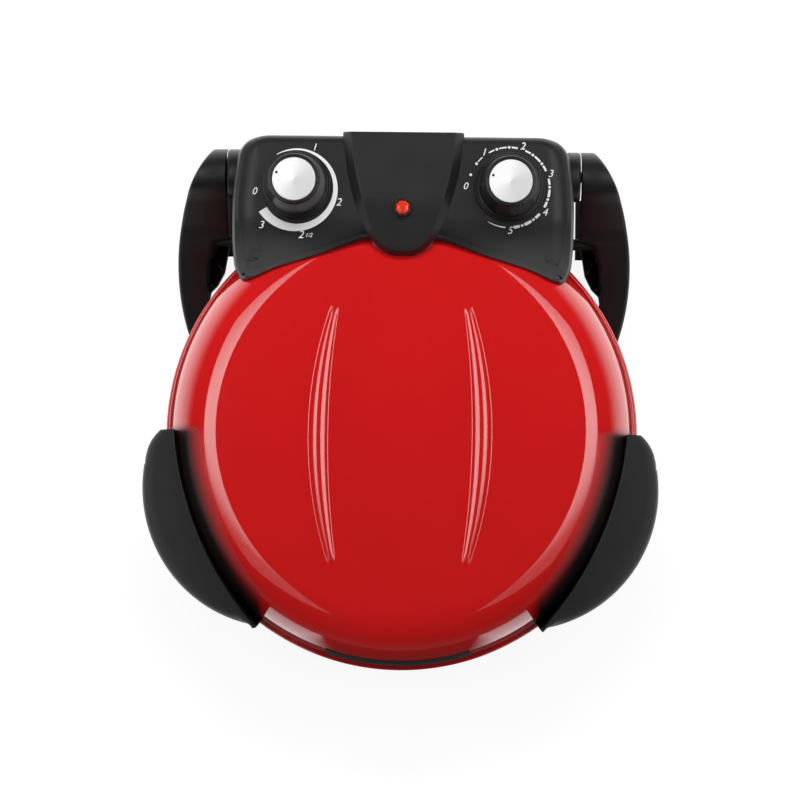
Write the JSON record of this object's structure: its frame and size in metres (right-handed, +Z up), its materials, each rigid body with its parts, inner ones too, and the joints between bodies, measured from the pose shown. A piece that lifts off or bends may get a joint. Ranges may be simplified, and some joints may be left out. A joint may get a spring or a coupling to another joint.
{
  "type": "electric pizza maker",
  "caption": "Round countertop pizza oven with a hinged domed lid, a baking stone over a heating element, a rear control housing with dials, and side handles.",
  "frame": {"origin": "on the table under the middle of the whole outline; the bowl's axis stands 19.75 mm in front of it", "axes": "+X to the right seen from the front, +Y towards the hinge at the back, +Z up"},
  "size_m": [0.3728, 0.3844, 0.1885],
  "materials": {
    "red_enamel": "gloss",
    "bright_sheet": "bright rolled",
    "steel": "brushed",
    "element_sheath": "dark oxidised",
    "stone": "matt",
    "steatite": "matt",
    "fibre_mat": "fibrous",
    "black_plastic": "satin, finely grained",
    "light_plastic": "satin",
    "red_lens": "clear red",
    "neon_glass": "clear",
    "copper_tube": "bright",
    "bell_metal": "bright",
    "knob_metal": "brushed",
    "rubber": "matt",
    "trim_plastic": "satin"
  },
  "bodies": {
    "base": {"base_shell": "red_enamel", "base_reflector": "bright_sheet", "baking_stone": "stone", "stone_clips": "steel", "lower_element": "element_sheath", "lower_element_brackets": "steel", "lower_element_terminals": "steatite", "terminal_cover": "red_enamel", "hinge_arm_left": "black_plastic", "hinge_arm_right": "black_plastic", "arm_screws": "steel", "hinge_pin_left": "steel", "hinge_pin_right": "steel", "pin_circlips": "steel", "front_feet": "black_plastic", "foot_pads": "rubber", "foot_screws": "steel"},
    "lid": {"lid_shell": "red_enamel", "lid_reflector": "bright_sheet", "lid_insulation": "fibre_mat", "upper_element": "element_sheath", "upper_element_brackets": "steel", "upper_element_terminals": "steatite", "control_housing": "black_plastic", "centre_fascia": "black_plastic", "housing_cover": "black_plastic", "cover_screws": "steel", "housing_screws": "steel", "hinge_bush_left": "copper_tube", "hinge_bush_right": "copper_tube", "pilot_lens": "red_lens", "pilot_lamp": "neon_glass", "thermostat": "steel", "thermostat_bulb": "copper_tube", "timer": "steel", "timer_bell": "bell_metal", "terminal_block": "light_plastic", "lid_handle_left": "black_plastic", "lid_handle_right": "black_plastic", "handle_bracket_left": "steel", "handle_bracket_right": "steel", "handle_screws": "steel", "front_trim_strip": "trim_plastic", "cord_gland": "rubber"},
    "temp_knob": {"temp_knob": "black_plastic", "temp_knob_cap": "knob_metal", "thermostat_spindle": "steel"},
    "timer_knob": {"timer_knob": "black_plastic", "timer_knob_cap": "knob_metal", "timer_spindle": "steel"}
  },
  "joints": [
    {"name": "lid_hinge", "type": "hinge", "parent": "base", "child": "lid", "pos_m": [0, 0.16725, 0.118], "axis": [-1, 0, 0], "range_deg": [0, 100]},
    {"name": "temp_dial", "type": "hinge", "parent": "lid", "child": "temp_knob", "pos_m": [-0.0762, 0.15325, 0.16], "axis": [0, 0, -1], "range_deg": [-29.5, 290.8]},
    {"name": "timer_dial", "type": "hinge", "parent": "lid", "child": "timer_knob", "pos_m": [0.0762, 0.15325, 0.16], "axis": [0, 0, -1], "range_deg": [-17.5, 283]}
  ]
}
